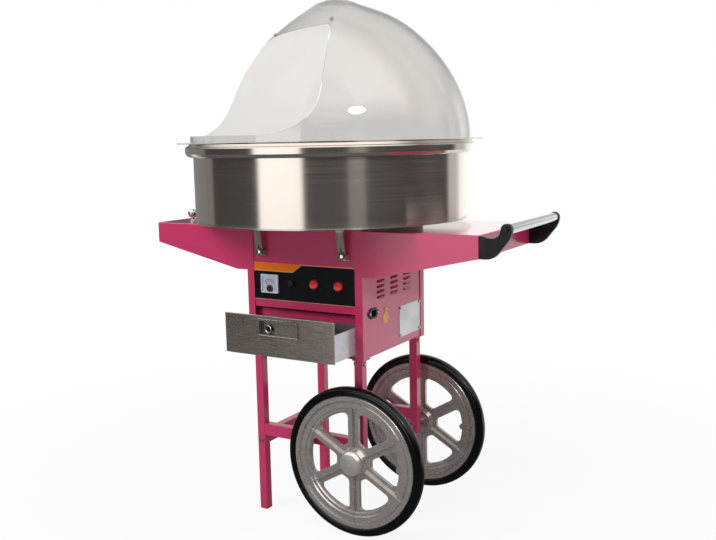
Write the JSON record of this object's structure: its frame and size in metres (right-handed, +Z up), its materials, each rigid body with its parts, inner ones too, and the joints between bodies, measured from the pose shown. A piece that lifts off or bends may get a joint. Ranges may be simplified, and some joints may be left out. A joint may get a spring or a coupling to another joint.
{
  "type": "cotton candy machine cart",
  "caption": "Electric floss spinner with a wide steel bowl and clear bubble dome, on a wheeled cabinet with side trays, drawer and push handle.",
  "frame": {"origin": "On the floor, in the middle of the whole length from the left tray's tip to the push handle.", "axes": "+Z up; -Y is the drawer and control side; +X is the push handle's end."},
  "size_m": [0.984, 0.756, 1.277],
  "materials": {
    "pink_paint": "glossy pink powder coat",
    "zinc_fasteners": "bright plated",
    "black_bracket": "satin black paint",
    "chrome": "polished",
    "panel_film": "satin printed film, black with an orange band",
    "meter_plastic": "pale dial behind a clear face",
    "needle_red": "painted",
    "black_plastic": "moulded",
    "red_plastic": "translucent red",
    "tag_film": "plain film",
    "plate_film": "brushed plate, bare",
    "motor_paint": "grey enamel",
    "zinc_plate": "zinc plated",
    "brush_plastic": "moulded insulator",
    "spindle_steel": "turned",
    "head_aluminium": "cast and turned",
    "heater_steel": "oxidised coil",
    "bowl_steel": "spun and brushed stainless steel",
    "clear_plastic": "clear moulded acrylic",
    "drawer_steel": "brushed stainless steel",
    "wheel_paint": "silver-grey paint",
    "tyre": "solid rubber",
    "hub_plastic": "moulded, silver-grey"
  },
  "bodies": {
    "cart": {"tray_left": "pink_paint", "tray_right": "pink_paint", "corner_posts": "pink_paint", "leg_front_left": "pink_paint", "leg_rear_left": "pink_paint", "leg_front_right": "pink_paint", "leg_rear_right": "pink_paint", "rail_front": "pink_paint", "rail_rear": "pink_paint", "rail_left": "pink_paint", "axle": "zinc_fasteners", "frame_bolts": "zinc_fasteners", "handle_bracket_front": "black_bracket", "handle_bracket_rear": "black_bracket", "handle_bar": "chrome", "handle_bolts": "zinc_fasteners", "tray_knob": "chrome", "side_panel_left": "pink_paint", "side_panel_right": "pink_paint", "back_panel": "pink_paint", "floor_pan": "pink_paint", "top_plate": "pink_paint", "bay_roof": "pink_paint", "front_fascia": "pink_paint", "control_panel": "panel_film", "voltmeter": "meter_plastic", "fuse_holder": "black_plastic", "switch_frames": "black_plastic", "power_inlet": "black_plastic", "earth_tag": "tag_film", "rating_plate": "plate_film", "panel_screws": "zinc_fasteners", "motor": "motor_paint", "motor_bracket": "zinc_plate", "brush_block": "brush_plastic", "drawer_runners": "zinc_plate", "latch_blocks": "chrome"},
    "needle": {"voltmeter_needle": "needle_red"},
    "fuse_cap": {"fuse_cap": "black_plastic"},
    "rocker_left": {"rocker_left": "red_plastic"},
    "rocker_right": {"rocker_right": "red_plastic"},
    "latch_left": {"latch_left": "chrome"},
    "latch_right": {"latch_right": "chrome"},
    "spinner": {"spindle": "spindle_steel", "spinner_head": "head_aluminium", "heater_ring": "heater_steel"},
    "bowl": {"bowl": "bowl_steel", "latch_keepers": "chrome"},
    "dome": {"dome": "clear_plastic", "dome_rivets": "zinc_fasteners"},
    "drawer": {"drawer_tray": "drawer_steel", "drawer_front": "drawer_steel", "drawer_pull": "drawer_steel"},
    "drawer_lock": {"drawer_lock": "chrome"},
    "wheel_front": {"wheel_rim_front": "wheel_paint", "tyre_front": "tyre", "hub_cap_front": "hub_plastic"},
    "wheel_rear": {"wheel_rim_rear": "wheel_paint", "tyre_rear": "tyre", "hub_cap_rear": "hub_plastic"}
  },
  "joints": [
    {"name": "drawer_slide", "type": "slide", "parent": "cart", "child": "drawer", "axis": [0, -1, 0], "range_m": [-0.106, 0.13]},
    {"name": "drawer_lock_turn", "type": "hinge", "parent": "drawer", "child": "drawer_lock", "pos_m": [-0.067, -0.2583, 0.506], "axis": [0, -1, 0], "range_deg": [0, 90]},
    {"name": "spinner_turn", "type": "hinge", "parent": "cart", "child": "spinner", "pos_m": [-0.049, 0, 0.76], "axis": [0, 0, 1], "continuous": true},
    {"name": "bowl_lift", "type": "slide", "parent": "cart", "child": "bowl", "axis": [0, 0, 1], "range_m": [0, 0.25]},
    {"name": "dome_lift", "type": "slide", "parent": "bowl", "child": "dome", "axis": [0, 0, 1], "range_m": [0, 0.3]},
    {"name": "latch_left_swing", "type": "hinge", "parent": "cart", "child": "latch_left", "pos_m": [-0.155, -0.167, 0.671], "axis": [1, 0, 0], "range_deg": [0, 90]},
    {"name": "latch_right_swing", "type": "hinge", "parent": "cart", "child": "latch_right", "pos_m": [0.081, -0.167, 0.671], "axis": [1, 0, 0], "range_deg": [0, 90]},
    {"name": "rocker_left_tilt", "type": "hinge", "parent": "cart", "child": "rocker_left", "pos_m": [-0.0043, -0.16, 0.5995], "axis": [1, 0, 0], "range_deg": [0, 20]},
    {"name": "rocker_right_tilt", "type": "hinge", "parent": "cart", "child": "rocker_right", "pos_m": [0.0637, -0.16, 0.5995], "axis": [1, 0, 0], "range_deg": [0, 20]},
    {"name": "fuse_cap_turn", "type": "hinge", "parent": "cart", "child": "fuse_cap", "pos_m": [-0.0696, -0.1606, 0.5995], "axis": [0, -1, 0], "range_deg": [0, 90]},
    {"name": "voltmeter_reading", "type": "hinge", "parent": "cart", "child": "needle", "pos_m": [-0.134, -0.1617, 0.586], "axis": [0, 1, 0], "range_deg": [0, 90], "stiffness_Nm_per_rad": 0.0002, "springref_deg": -11.46},
    {"name": "wheel_front_roll", "type": "hinge", "parent": "cart", "child": "wheel_front", "pos_m": [0.106, -0.173, 0.1825], "axis": [0, 1, 0], "continuous": true},
    {"name": "wheel_rear_roll", "type": "hinge", "parent": "cart", "child": "wheel_rear", "pos_m": [0.106, 0.185, 0.1825], "axis": [0, 1, 0], "continuous": true}
  ]
}
